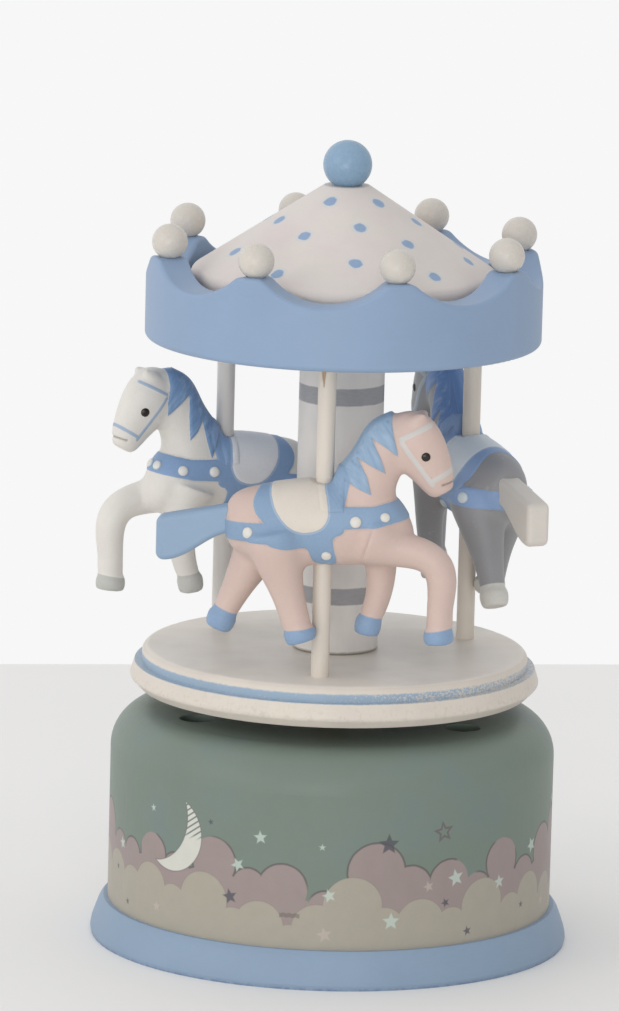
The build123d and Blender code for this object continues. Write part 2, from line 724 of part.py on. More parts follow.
# ================================================================ governor
governor_pinion = spur_gear(governor_pinion_teeth, governor_pinion_radius, governor_shaft_radius,
                            gear_width, 180 / governor_pinion_teeth)
save(along_x(governor_pinion, cylinder_gear_start, governor_y, cylinder_height), "governor_pinion")
save(lying_post(governor_shaft_radius, governor_shaft_start, shaft_end, governor_y, cylinder_height),
     "governor_shaft")
worm_face = gear_blank(worm_wheel_teeth, worm_wheel_radius, worm_tooth_half_width, worm_tooth_slope,
                       worm_tooth_addendum, worm_tooth_dedendum, 0)
worm_wheel = extrude(worm_face - Circle(governor_shaft_radius), worm_wheel_width)
save(along_x(worm_wheel, worm_wheel_x - worm_wheel_width / 2, governor_y, cylinder_height), "worm_wheel")

# Each thread starts on local +X. Its height puts a gap, not a thread, against the wheel's tooth.
worm_bottom = cylinder_height + worm_pitch / 2 - worm_mesh_turn * worm_lead - worm_pitch
thread_inner = worm_core_radius - worm_thread_root
thread_outline = Polyline((thread_inner, -worm_thread_base / 2), (worm_thread_radius, -worm_thread_tip / 2),
                          (worm_thread_radius, worm_thread_tip / 2), (thread_inner, worm_thread_base / 2),
                          close=True)
thread_path = Helix(worm_lead, worm_length, worm_core_radius)
thread = sweep(Plane.XZ * make_face(thread_outline), path=thread_path, is_frenet=True)
fly_worm = post(worm_core_radius, -worm_pitch / 2, worm_length + worm_pitch / 2)
for start in range(worm_starts):
    fly_worm += Rot(0, 0, 360 * start / worm_starts) * thread
fly_worm = Pos(worm_wheel_x, fly_y, worm_bottom) * fly_worm
fly_worm += post(fly_shaft_radius, fly_bracket_bottom, bed_bottom + fly_pivot_depth, worm_wheel_x, fly_y)
save(fly_worm, "fly_worm")

fly_vane = block(worm_wheel_x - fly_half_span, worm_wheel_x + fly_half_span,
                 fly_y - fly_thickness / 2, fly_y + fly_thickness / 2, fly_bottom, fly_bottom + fly_height)
fly_vane += post(fly_hub_radius, fly_bottom, fly_bottom + fly_height, worm_wheel_x, fly_y)
fly_vane -= post(fly_shaft_radius, fly_bottom, fly_bottom + fly_height, worm_wheel_x, fly_y)
save(fly_vane, "fly_vane")

# ================================================================ brackets
bedplate -= post(fly_shaft_radius + shaft_clearance, bed_bottom, bed_bottom + fly_pivot_depth + fly_pivot_gap,
                 worm_wheel_x, fly_y)
save(bedplate, "bedplate")

inner_bracket_end = cylinder_start - side_gap
inner_bracket = block(inner_bracket_end - bracket_thickness, inner_bracket_end,
                      -bracket_half_width, bracket_half_width, bracket_bottom, bed_bottom)
inner_bracket -= lying_post(cylinder_shaft_radius + shaft_clearance, 0, cylinder_start, 0, cylinder_height)
save(inner_bracket, "inner_bracket")

outer_bracket = block(outer_bracket_start, outer_bracket_start + bracket_thickness,
                      -bracket_half_width, governor_y + bracket_half_width, bracket_bottom, bed_bottom)
outer_bracket -= lying_post(cylinder_shaft_radius + shaft_clearance, outer_bracket_start, shaft_end, 0,
                            cylinder_height)
outer_bracket -= lying_post(governor_shaft_radius + shaft_clearance, outer_bracket_start, shaft_end,
                            governor_y, cylinder_height)
save(outer_bracket, "outer_bracket")

governor_bracket = block(governor_shaft_start, governor_shaft_start + bracket_thickness,
                         governor_y - bracket_half_width,
                         governor_y + bracket_half_width - governor_bracket_trim,
                         bracket_bottom, bed_bottom)
governor_bracket -= lying_post(governor_shaft_radius + shaft_clearance, governor_shaft_start,
                               shaft_end, governor_y, cylinder_height)
save(governor_bracket, "governor_bracket")

fly_bracket = block(worm_wheel_x - bracket_half_width, worm_wheel_x + bracket_half_width,
                    fly_plate_y, fly_plate_y + bracket_thickness, fly_bracket_bottom, bed_bottom)
fly_bracket += block(worm_wheel_x - bracket_half_width / 2, worm_wheel_x + bracket_half_width / 2,
                     fly_y - bracket_half_width / 2, fly_plate_y, fly_bracket_bottom,
                     fly_bracket_bottom + bracket_thickness)
fly_bracket -= post(fly_shaft_radius + shaft_clearance, fly_bracket_bottom,
                    fly_bracket_bottom + bracket_thickness, worm_wheel_x, fly_y)
save(fly_bracket, "fly_bracket")
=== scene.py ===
"""Looks of the carousel music box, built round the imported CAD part. Metres, in the CAD frame."""

from math import cos, hypot, pi, radians, sin

import bmesh
import bpy
import numpy as np
from mathutils import Euler, Matrix, Vector
from mathutils.bvhtree import BVHTree


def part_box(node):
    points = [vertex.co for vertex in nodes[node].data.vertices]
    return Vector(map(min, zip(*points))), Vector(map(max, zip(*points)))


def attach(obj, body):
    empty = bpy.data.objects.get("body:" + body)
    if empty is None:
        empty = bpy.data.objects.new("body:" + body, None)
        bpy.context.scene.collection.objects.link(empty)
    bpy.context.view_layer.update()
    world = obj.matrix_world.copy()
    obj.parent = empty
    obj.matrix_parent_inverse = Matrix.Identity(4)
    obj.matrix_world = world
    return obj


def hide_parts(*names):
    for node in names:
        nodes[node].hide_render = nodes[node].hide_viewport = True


MM = 0.001

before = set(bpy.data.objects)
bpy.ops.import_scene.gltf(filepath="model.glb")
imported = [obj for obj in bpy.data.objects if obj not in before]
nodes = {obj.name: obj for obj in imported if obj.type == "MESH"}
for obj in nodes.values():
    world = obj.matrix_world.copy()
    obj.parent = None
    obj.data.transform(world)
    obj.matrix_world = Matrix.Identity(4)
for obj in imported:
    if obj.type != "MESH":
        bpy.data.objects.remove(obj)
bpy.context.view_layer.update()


def size_of(node):
    low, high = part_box(node)
    return np.array(low), np.array(high)


# ---------------------------------------------------------------- shader helpers

def linear(hex_colour):
    """An sRGB hex colour as linear RGBA."""
    parts = [int(hex_colour[i:i + 2], 16) / 255 for i in (1, 3, 5)]
    return tuple(c / 12.92 if c <= 0.04045 else ((c + 0.055) / 1.055) ** 2.4 for c in parts) + (1.0,)


class Value:
    """A socket that can be added, multiplied and so on."""

    def __init__(self, shade, socket):
        self.shade = shade
        self.socket = socket

    def __add__(self, other):
        return self.shade.math("ADD", self, other)

    def __sub__(self, other):
        return self.shade.math("SUBTRACT", self, other)

    def __rsub__(self, other):
        return self.shade.math("SUBTRACT", other, self)

    def __mul__(self, other):
        return self.shade.math("MULTIPLY", self, other)

    __radd__ = __add__
    __rmul__ = __mul__


class Shade:
    """A material on one Principled shader, written as sums of nodes. Lengths are in millimetres."""

    def __init__(self, name, roughness=0.5, metallic=0.0, specular=0.5):
        self.material = bpy.data.materials.new(name)
        self.material.use_nodes = True
        self.tree = self.material.node_tree
        self.tree.nodes.clear()
        self.shader = self.tree.nodes.new("ShaderNodeBsdfPrincipled")
        output = self.tree.nodes.new("ShaderNodeOutputMaterial")
        self.tree.links.new(self.shader.outputs[0], output.inputs[0])
        self.shader.inputs["Roughness"].default_value = roughness
        self.shader.inputs["Metallic"].default_value = metallic
        self.shader.inputs["Specular IOR Level"].default_value = specular
        coordinates = self.tree.nodes.new("ShaderNodeTexCoord")
        self.place = self.vector("SCALE", Value(self, coordinates.outputs["Object"]), scale=1000.0)
        x, y, z = self.split(self.place)
        self.x, self.y, self.z = x, y, z

    def put(self, socket, value):
        """Set a socket to a number, a vector, a hex colour or another node's value."""
        if isinstance(value, Value):
            self.tree.links.new(value.socket, socket)
        elif isinstance(value, str):
            socket.default_value = linear(value)
        elif value is not None:
            socket.default_value = value

    def math(self, operation, a, b=None):
        node = self.tree.nodes.new("ShaderNodeMath")
        node.operation = operation
        for socket, value in zip(node.inputs, (a, b)):
            self.put(socket, value)
        return Value(self, node.outputs[0])

    def vector(self, operation, a, b=None, c=None, scale=None):
        node = self.tree.nodes.new("ShaderNodeVectorMath")
        node.operation = operation
        for socket, value in zip(node.inputs, (a, b, c)):
            self.put(socket, value)
        if scale is not None:
            self.put(node.inputs["Scale"], scale)
        gives_number = operation in ("LENGTH", "DISTANCE", "DOT_PRODUCT")
        return Value(self, node.outputs["Value" if gives_number else 0])

    def split(self, vector):
        node = self.tree.nodes.new("ShaderNodeSeparateXYZ")
        self.put(node.inputs[0], vector)
        return [Value(self, out) for out in node.outputs]

    def join(self, x, y, z):
        node = self.tree.nodes.new("ShaderNodeCombineXYZ")
        for socket, value in zip(node.inputs, (x, y, z)):
            self.put(socket, value)
        return Value(self, node.outputs[0])

    def noise(self, scale, detail=3.0, roughness=0.5, vector=None, stretch=None):
        """Noise from 0 to 1; scale is in features per millimetre."""
        vector = vector or self.place
        if stretch:
            vector = self.vector("MULTIPLY", vector, stretch)
        node = self.tree.nodes.new("ShaderNodeTexNoise")
        self.put(node.inputs["Vector"], vector)
        node.inputs["Scale"].default_value = scale
        node.inputs["Detail"].default_value = detail
        node.inputs["Roughness"].default_value = roughness
        return Value(self, node.outputs["Fac"])

    def attribute(self, name):
        node = self.tree.nodes.new("ShaderNodeAttribute")
        node.attribute_name = name
        return Value(self, node.outputs["Fac"])

    def ramp(self, value, low, high, to_low=0.0, to_high=1.0):
        """Smooth step of value from to_low at low to to_high at high."""
        node = self.tree.nodes.new("ShaderNodeMapRange")
        node.interpolation_type = "SMOOTHSTEP"
        for socket, number in zip(node.inputs, (value, low, high, to_low, to_high)):
            self.put(socket, number)
        return Value(self, node.outputs[0])

    def inside(self, distance, soft=0.12):
        """1 where distance is below 0, 0 where it is above, with a soft edge."""
        return self.ramp(distance, -soft, soft, 1.0, 0.0)

    def blend(self, kind, share, a, b):
        node = self.tree.nodes.new("ShaderNodeMix")
        node.data_type = "RGBA"
        node.blend_type = kind
        node.clamp_factor = True
        for index, value in ((0, share), (6, a), (7, b)):
            self.put(node.inputs[index], value)
        return Value(self, node.outputs[2])

    def mix(self, share, a, b):
        """Colour a where share is 0, and b where it is 1."""
        return self.blend("MIX", share, a, b)

    def shift(self, colour, amount):
        """colour made lighter or darker by amount, a value around 1."""
        return self.blend("MULTIPLY", 1.0, colour, self.join(amount, amount, amount))

    def bump(self, height, distance):
        """height from 0 to 1 raised by distance in millimetres."""
        node = self.tree.nodes.new("ShaderNodeBump")
        node.inputs["Strength"].default_value = 1.0
        node.inputs["Distance"].default_value = distance * MM
        self.put(node.inputs["Height"], height)
        self.tree.links.new(node.outputs[0], self.shader.inputs["Normal"])

    def finish(self, colour, roughness=None):
        self.put(self.shader.inputs["Base Color"], colour)
        self.put(self.shader.inputs["Roughness"], roughness)
        return self.material


def brushed(shade, colour, streaks=(1.0, 1.0, 1.0), depth=0.05, patch=0.07, gloss=0.5, relief=None):
    """Hand-brushed satin paint: cloudy shade, fine specks, brush marks along one way."""
    speck = 0.05
    cloud = shade.noise(0.09, 4.0, 0.55)
    marks = shade.noise(1.1, 4.0, 0.6, stretch=streaks)
    grain = shade.noise(6.0, 2.0, 0.6)
    level = 1.0 + (cloud - 0.5) * (2 * patch) + (marks - 0.5) * speck + (grain - 0.5) * (speck * 0.6)
    colour = shade.shift(colour, level)
    specks = shade.ramp(shade.noise(2.3, 2.0, 0.5), 0.72, 0.80)
    colour = shade.mix(specks * 0.12, colour, "#5f5a52")
    height = marks * 0.6 + grain * 0.25 + cloud * 0.5
    if relief is not None:
        height = height + relief
    shade.bump(height, depth)
    return shade.finish(colour, gloss + (marks - 0.5) * 0.16 + (cloud - 0.5) * 0.12)


def paint(name, colour, **options):
    """Brushed paint of one colour."""
    return brushed(Shade(name, specular=0.4), colour, **options)


def metal(name, colour, gloss=0.32, streaks=(1.0, 1.0, 8.0), tarnish="#5a4630", aged=0.35):
    """Machined metal with fine tool marks and a thin tarnish."""
    shade = Shade(name, metallic=1.0)
    marks = shade.noise(2.0, 5.0, 0.65, stretch=streaks)
    stain = shade.noise(0.35, 4.0, 0.6)
    tone = shade.shift(colour, 1.0 + (marks - 0.5) * 0.22)
    tone = shade.mix(shade.ramp(stain, 0.5, 0.8) * aged, tone, tarnish)
    shade.bump(marks, 0.02)
    return shade.finish(tone, gloss + (marks - 0.5) * 0.2 + shade.ramp(stain, 0.5, 0.8) * 0.18)


def cover(node, *materials):
    """These materials in the node's slots, the first one in any left over."""
    slots = nodes[node].material_slots
    for index, slot in enumerate(slots):
        slot.material = materials[min(index, len(materials) - 1)]


# ---------------------------------------------------------------- base

BLUE = "#8CA0B6"
CROWN_BLUE = "#8CA2BE"
CREAM = "#D9D0C4"

# The printed band is drawn in degrees from the front and millimetres from the ground.
drum_low, drum_high = size_of("drum_shell")
drum_radius = (drum_high[0] - drum_low[0]) / 2 / MM
PRINT_PERIOD = pi * drum_radius      # it repeats after half a turn
CLOUD_CURVE_TOP = 40.0               # height at the top of the curves that shape the clouds
STAR_WAIST = 0.46                    # a star's inner radius as a share of its reach


def drum_finish():
    """Grey-green paint with a printed band of clouds, stars and a plain crescent round its foot."""
    s = Shade("drum_paint", specular=0.25)
    turn = s.math("ARCTAN2", s.y, s.x) + pi / 2
    wobble = s.noise(0.9, 2.0, 0.5) - 0.5
    along = turn * drum_radius
    spot = s.join(along, s.z, 0.0)
    half = PRINT_PERIOD / 2

    def from_point(degrees_from_front, height):
        """Position on the unrolled wall, from that point."""
        step = s.vector("SUBTRACT", spot, (radians(degrees_from_front) * drum_radius, height, 0.0))
        return s.vector("WRAP", step, (half, 1000.0, 1.0), (-half, -1000.0, -1.0))

    share = s.math("FRACT", turn * (1 / pi) + 0.5)

    def bank(bumps):
        """Distance to a bank of round clouds: each is (degrees from the front, height, radius)."""
        curve = s.tree.nodes.new("ShaderNodeFloatCurve")
        points = curve.mapping.curves[0].points
        seam = (bumps[0][1] + bumps[-1][1]) / 2 / CLOUD_CURVE_TOP
        points[0].location = (0.0, seam)
        points[1].location = (1.0, seam)
        for where, height, radius in bumps:
            points.new((where + 90) / 180, height / CLOUD_CURVE_TOP)
        for point in points:
            point.handle_type = "VECTOR"
        curve.mapping.update()
        s.put(curve.inputs["Value"], share)
        distance = s.z - Value(s, curve.outputs[0]) * CLOUD_CURVE_TOP
        for where, height, radius in bumps:
            distance = s.math("MINIMUM", distance, s.vector("LENGTH", from_point(where, height)) - radius)
        return distance + wobble * 0.12

    def star(where, height, reach, tilt=0.0):
        """Distance to a five-pointed star, at degrees from the front and a height."""
        x, y, _ = s.split(from_point(where, height))
        angle = s.math("PINGPONG", s.math("ARCTAN2", x, y) + (tilt + 4 * pi), pi / 5)
        far = s.math("SQRT", x * x + y * y)
        inner = STAR_WAIST * reach
        edge = (inner * cos(pi / 5) - reach, inner * sin(pi / 5))
        size = hypot(*edge)
        across = far * s.math("COSINE", angle) - reach
        up = far * s.math("SINE", angle)
        return across * (edge[1] / size) + up * (-edge[0] / size)

    def all_of(stars):
        """Distance to the nearest of the stars: each is (degrees, height, reach, tilt)."""
        distance = None
        for entry in stars:
            new = star(*entry)
            distance = new if distance is None else s.math("MINIMUM", distance, new)
        return distance

    back = bank([(-81, 20.0, 4.0), (-70, 17.3, 2.8), (-62, 17.2, 2.7), (-52, 18.6, 3.4), (-43, 16.5, 3.2),
                 (-31, 19.4, 4.2), (-21, 16.2, 3.0), (-12, 16.2, 4.2), (-1, 13.2, 3.0), (4, 14.6, 3.2),
                 (12, 19.4, 4.9), (21, 16.4, 3.9), (32, 17.0, 3.8), (41, 15.0, 3.0), (50, 19.0, 3.9),
                 (60, 15.6, 3.2), (72, 18.6, 4.2), (84, 20.0, 4.2)])
    front = bank([(-84, 12.6, 4.0), (-72, 12.6, 3.8), (-62, 11.6, 3.4), (-53, 12.8, 4.0), (-44, 11.0, 3.2),
                  (-34, 12.8, 4.6), (-25, 9.0, 3.2), (-18, 9.6, 4.2), (-10, 7.6, 2.6), (-3, 9.6, 4.2),
                  (6, 13.6, 4.9), (14, 9.8, 3.6), (24, 10.2, 4.3), (33, 9.6, 3.0), (43, 12.2, 4.5),
                  (54, 9.8, 3.3), (63, 11.8, 3.8), (75, 10.4, 3.6)])
    moon_x, moon_y, _ = s.split(from_point(-44.7, 22.9))
    moon = s.math("MAXIMUM", s.math("SQRT", moon_x * moon_x + moon_y * moon_y) - 6.4,
                  8.15 - s.vector("LENGTH", from_point(-51.8, 25.7)))
    light = all_of([(-18, 24.5, 1.15, 0.1), (-24, 19.5, 1.2, 0.5), (34, 17.5, 1.5, 0.2),
                    (0, 15.4, 1.15, 0.3), (16, 11.0, 1.5, 0.0), (64, 20.0, 1.4, 0.4), (49, 15.5, 1.2, 0.1),
                    (-68, 18.0, 1.1, 0.2), (-2, 23.5, 0.55, 0.0), (-52, 26.2, 0.65, 0.2),
                    (83, 25.5, 0.9, 0.2)])
    faint = all_of([(-50, 9.7, 0.9, 0.1), (26, 16.5, 0.95, 0.3), (-1, 8.8, 1.3, 0.2), (72, 9.5, 0.9, 0.0)])
    dark = all_of([(-26, 14.0, 1.35, 0.25), (15, 24.0, 1.8, 0.0), (31, 13.5, 0.8, 0.4),
                   (38, 8.2, 0.85, 0.2), (59, 10.5, 0.6, 0.0), (-32, 26.0, 0.55, 0.3),
                   (-71, 13.6, 0.6, 0.1), (-64, 8.6, 0.6, 0.2)])
    ring = s.math("ABSOLUTE", star(30, 25.5, 1.5, 0.15)) - 0.17
    bar_x, bar_y, _ = s.split(from_point(-10, 11.9))
    bar = s.math("MAXIMUM", s.math("ABSOLUTE", bar_x) - 1.7,
                 s.math("ABSOLUTE", bar_y + s.math("PINGPONG", bar_x, 0.5) * 0.3) - 0.36)

    cloud = s.noise(0.07, 4.0, 0.6)
    fine = s.noise(3.2, 3.0, 0.6)
    brush = s.noise(1.0, 4.0, 0.6, stretch=(1.0, 1.0, 0.25))
    colour = s.shift("#78857B", 1.0 + (cloud - 0.5) * 0.18 + (fine - 0.5) * 0.05)
    colour = s.mix(s.ramp(cloud, 0.45, 0.75) * 0.35, colour, "#6F7F86")
    paper = 1.0 + (s.noise(0.35, 3.0, 0.5) - 0.5) * 0.10 + (fine - 0.5) * 0.06
    outline = s.inside(s.math("ABSOLUTE", back) - 0.16) * s.ramp(s.noise(0.16, 1.0, 0.4), 0.36, 0.46)
    colour = s.mix(s.inside(back), colour, s.shift("#9A8D8A", paper))
    colour = s.mix(outline * 0.75, colour, "#5B5657")
    stripes = s.inside(s.math("PINGPONG", moon_y * 0.83 - moon_x * 0.56, 0.42) - 0.13, 0.07)
    stripes = stripes * s.ramp(moon_y, -0.6, 0.6)
    moonlight = s.mix(stripes, s.shift("#CFCFC6", paper), "#77807C")
    colour = s.mix(s.inside(moon - 0.18) * 0.55, colour, "#6E6A68")
    colour = s.mix(s.inside(moon), colour, moonlight)
    colour = s.mix(s.inside(front - 0.12) * 0.35, colour, "#857C76")
    colour = s.mix(s.inside(front), colour, s.shift("#A8A295", paper))
    colour = s.mix(s.inside(bar) * 0.6, colour, "#6D685F")
    colour = s.mix(s.inside(faint) * 0.55, colour, "#C3B5AC")
    colour = s.mix(s.inside(dark) * 0.85, colour, "#55555D")
    colour = s.mix(s.inside(ring, 0.1) * 0.8, colour, "#6A5F62")
    colour = s.mix(s.inside(light) * 0.8, colour, "#BECCC2")
    scuff = s.ramp(s.noise(0.7, 5.0, 0.7), 0.66, 0.74) * s.ramp(s.z, 9.5, 7.0)
    colour = s.mix(scuff * 0.5, colour, "#C9C2B4")
    s.bump(brush * 0.5 + fine * 0.25 + cloud * 0.6, 0.05)
    return s.finish(colour, 0.42 + (brush - 0.5) * 0.14 + (cloud - 0.5) * 0.12)


cover("drum_shell", drum_finish())


def flange_finish():
    """Blue paint rubbed darker along the foot."""
    s = Shade("flange_paint", specular=0.22)
    rub = s.ramp(s.z, 0.0, 0.7, 1.0, 0.0) * s.ramp(s.noise(0.8, 4.0, 0.6), 0.35, 0.62)
    colour = s.mix(rub * 0.6, BLUE, "#5E6F92")
    return brushed(s, colour, streaks=(0.6, 0.6, 2.0), gloss=0.46)


cover("base_flange", flange_finish())

# ---------------------------------------------------------------- movement

steel = metal("bright_steel", "#B9B8B4", gloss=0.28)
dark_steel = metal("screw_steel", "#8D8A84", gloss=0.38, tarnish="#4b3524", aged=0.7)
zinc = metal("cast_zinc", "#A3A5A6", gloss=0.5, streaks=(1.0, 1.0, 1.0), tarnish="#6d6f70")
spring = metal("blued_spring", "#70757F", gloss=0.3, streaks=(1.0, 1.0, 0.2), tarnish="#3a4154")
brass = metal("gear_brass", "#C9A45C", gloss=0.3, tarnish="#7a5a2a")
comb_steel = metal("comb_steel", "#C2C1BC", gloss=0.22, streaks=(8.0, 0.6, 1.0), aged=0.15)

METALS = {
    "case_screws": dark_steel, "movement_screws": dark_steel, "comb_screws": dark_steel,
    "bedplate": zinc, "spring_barrel": zinc, "barrel_cover": zinc, "barrel_pillars": zinc,
    "comb_heel": zinc, "inner_bracket": zinc, "outer_bracket": zinc, "governor_bracket": zinc,
    "fly_bracket": zinc, "mainspring": spring, "clutch_spring": spring, "note_comb": comb_steel,
    "winding_arbor": steel, "cylinder_shaft": steel, "governor_shaft": steel, "fly_worm": steel,
    "great_wheel": brass, "turntable_insert": brass, "cylinder_shell": brass, "drive_pinion": brass,
    "cylinder_gear": brass, "governor_pinion": brass, "worm_wheel": brass, "fly_vane": brass,
}
for node, material in METALS.items():
    cover(node, material)

# ---------------------------------------------------------------- turntable, column and poles

# Heights and radii in millimetres.
TURNTABLE_RADIUS = 34.3
STAGE_RADIUS = 32.3
STAGE_TOP = 49.3
STRIPE_BOTTOM = 46.62
STRIPE_TOP = 47.9
COLUMN_RINGS = ((92.9, 1.45), (59.2, 1.4))      # height of the middle, and half the width


def turntable_finish():
    """Cream paint with a blue painted step round the stage, rubbed thin towards one side."""
    s = Shade("turntable_paint", specular=0.4)
    reach = s.math("SQRT", s.x * s.x + s.y * s.y)
    ragged = (s.noise(1.4, 4.0, 0.65) - 0.5) * 0.5
    band = s.ramp(s.z - (STRIPE_BOTTOM + ragged * 0.5), -0.08, 0.12)
    band = band * s.ramp(s.z + ragged, STRIPE_TOP, STRIPE_TOP + 0.35, 1.0, 0.0)
    band = band * s.ramp(reach, STAGE_RADIUS - 0.3, STAGE_RADIUS - 0.1)
    away = s.vector("DOT_PRODUCT", s.place, (0.82, -0.36, 0.0))
    worn = s.ramp(s.noise(2.6, 5.0, 0.75) + s.ramp(away, 6.0, 34.0) * 0.17, 0.60, 0.68)
    # painted light: the top face of the stage is painted a lighter cream than the rest
    colour = s.mix(s.ramp(s.z, STAGE_TOP - 0.4, STAGE_TOP - 0.1), CREAM, "#E5DED4")
    colour = s.mix(s.ramp(s.noise(0.12, 3.0, 0.5), 0.35, 0.7) * 0.35, colour, "#CFC8C0")
    rim = s.ramp(reach, TURNTABLE_RADIUS - 1.1, TURNTABLE_RADIUS + 0.1)
    handled = rim * s.ramp(s.noise(1.2, 4.0, 0.7), 0.5, 0.66)
    colour = s.mix(handled * 0.35, colour, "#B9AE9E")
    colour = s.mix(band * (1.0 - worn * 0.9), colour, "#9AAFC2")
    return brushed(s, colour, streaks=(0.25, 2.0, 1.0), gloss=0.42, depth=0.06, relief=band * 0.5)


cover("turntable", turntable_finish())


def column_finish():
    """White paint with two grey painted rings, darker in a thin band at the foot."""
    s = Shade("column_paint", specular=0.4)
    ragged = (s.noise(0.8, 3.0, 0.6) - 0.5) * 0.35
    rings = None
    for middle, half in COLUMN_RINGS:
        ring = s.inside(s.math("ABSOLUTE", s.z - middle + ragged * 0.6) - half, 0.13)
        rings = ring if rings is None else rings + ring
    strokes = s.noise(0.8, 3.0, 0.6, stretch=(1.0, 1.0, 6.0))
    grey = s.shift("#9C9C9F", 1.0 + (strokes - 0.5) * 0.35)
    colour = s.mix(s.ramp(s.noise(0.2, 3.0, 0.5), 0.4, 0.75) * 0.25, "#DFDBD6", "#CFCBC7")
    colour = s.mix(rings * 0.95, colour, grey)
    foot = s.ramp(s.z + ragged, STAGE_TOP + 0.2, STAGE_TOP + 0.7, 1.0, 0.0)
    colour = s.mix(foot * 0.7, colour, "#7E7866")
    return brushed(s, colour, streaks=(1.0, 1.0, 0.3), gloss=0.46)


cover("center_column", column_finish())

ALONG_POLE = dict(gloss=0.42, streaks=(2.0, 2.0, 0.12), depth=0.04)
cover("pole_grey", paint("pole_paint", CREAM, **ALONG_POLE))
cover("pole_white", paint("pole_shade_paint", "#D8D4CF", **ALONG_POLE))


def glued_pole_finish():
    """The front pole: the same paint, with a brown run of glue at its top."""
    s = Shade("glued_pole_paint", specular=0.4)
    low, high = size_of("pole_pink")
    centre_x = float(low[0] + high[0]) / 2 / MM
    front = float(low[1]) / MM
    top = float(size_of("canopy_crown")[0][2]) / MM
    length = 3.9
    fall = top - s.z
    narrow = s.ramp(fall, 0.3, length, 0.42, 0.05)
    run = s.math("ABSOLUTE", s.x - (centre_x - 0.55) + (s.noise(0.6, 1.0, 0.5) - 0.5) * 0.3) - narrow
    run = s.inside(run, 0.1) * s.ramp(fall, length, length - 0.2) * s.ramp(s.y, front + 1.5, front + 1.4)
    colour = s.mix(run * 0.85, CREAM, "#A9855C")
    return brushed(s, colour, relief=run * 3.0, **ALONG_POLE)


cover("pole_pink", glued_pole_finish())

# ---------------------------------------------------------------- canopy

bead_count = 8
cover("canopy_crown", paint("crown_paint", CROWN_BLUE, gloss=0.45, streaks=(0.5, 0.5, 1.6), patch=0.06))
cover("roof_finial", paint("finial_paint", "#87A4BD", gloss=0.27, patch=0.05))
bead_paint = paint("bead_paint", "#CFC9C0", gloss=0.27, patch=0.05)
for index in range(1, bead_count + 1):
    cover(f"crown_bead_{index}", bead_paint)

# The roof's cone, from (radius, height) at its foot to the same at its head, and the size of its dabs.
CONE_FOOT = (25.6, 113.1)
CONE_HEAD = (3.8, 127.5)
DAB_RADIUS = 1.05


def roof_finish():
    """Off-white cone dotted with small blue dabs, each in a paler ring."""
    s = Shade("roof_paint", specular=0.4)
    # each dab is (degrees from +X, height)
    dabs = [(-114, 125.6), (-42, 125.3), (-157, 122.1), (-79, 122.2), (-119, 120.7), (-49, 119.7),
            (-85, 117.4), (-49, 115.2), (-120, 115.4), (-158, 117.0), (-15, 122.1), (-15, 116.1),
            (20, 124.9), (88, 125.8), (150, 125.0), (28, 119.0), (63, 121.5), (108, 121.0), (140, 118.0),
            (172, 121.4), (5, 117.6), (48, 115.4), (84, 117.0), (116, 115.6), (165, 115.3)]
    shaken = s.vector("ADD", s.place, s.join((s.noise(0.9, 2.0, 0.5) - 0.5) * 0.9, 0.0,
                                             (s.noise(1.1, 2.0, 0.5) - 0.5) * 0.7))
    nearest = None
    slope = (CONE_HEAD[0] - CONE_FOOT[0]) / (CONE_HEAD[1] - CONE_FOOT[1])
    for turn, height in dabs:
        reach = CONE_FOOT[0] + (height - CONE_FOOT[1]) * slope
        middle = (reach * cos(radians(turn)), reach * sin(radians(turn)), height)
        gap = s.vector("DISTANCE", shaken, middle)
        nearest = gap if nearest is None else s.math("MINIMUM", nearest, gap)
    colour = s.mix(s.ramp(s.noise(0.11, 3.0, 0.5), 0.35, 0.7) * 0.5, "#D9D2CC", "#D6C9C8")
    halo = s.ramp(nearest, 1.25, 1.75, 1.0, 0.0)
    colour = s.mix(halo * 0.55, colour, "#C9CFD2")
    dab = s.inside(nearest - DAB_RADIUS, 0.16)
    colour = s.mix(dab * 0.92, colour, s.shift("#84A0C2", 1.0 + (s.noise(2.0) - 0.5) * 0.25))
    return brushed(s, colour, depth=0.06, relief=dab * 0.5)


cover("canopy_roof", roof_finish())

# ---------------------------------------------------------------- horses

# How the castings are softened: voxel sizes in millimetres, and passes of smoothing.
VOXEL = 0.26
ROUNDING_PASSES = 14
CREASE_PASSES = 100
LAST_PASSES = 4

# Painted pattern in millimetres: forward from the pole, and up from the saddle. Studs and the eye also have a
# radius, and the lifts say how far they stand off the skin.
SADDLE_HEIGHTS = {"pink": 82.4, "grey": 84.6, "white": 82.8}
HIGHEST_HOOF = -18.0
STUD_LIFT = 0.12
EYE_LIFT = -0.08
FAR_ASIDE = 0.03                     # metres, well outside a horse's flank
SADDLE = [(-8.5, 2.5), (-8.5, -1.1), (-8.2, -2.8), (-7.1, -5.2), (-4.9, -7.5), (-2.4, -8.1), (0.1, -7.3),
          (1.2, -5.5), (1.0, -3.2), (0.3, -0.6), (0.3, 2.5)]
BLANKET = [(-10.4, 2.5), (-8.9, 0.4), (-10.6, -1.6), (-11.3, -3.7), (-10.6, -5.6), (-9.4, -6.9),
           (-8.6, -9.9), (-5.2, -10.9), (-2.4, -10.8), (-1.5, -12.6), (-0.7, -13.6), (2.5, -13.6),
           (2.1, -9.2), (3.9, -7.8), (3.7, -4.3), (3.5, 2.5)]
REAR_STRAP = [(-20.0, -7.2), (-9.0, -6.9), (-8.0, -9.9), (-20.0, -10.6)]
CHEST_STRAP = [(3.0, -3.7), (8.5, -3.5), (12.1, -2.7), (17.4, -1.8), (17.4, -4.9), (13.4, -5.9),
               (8.6, -6.9), (3.0, -7.4)]
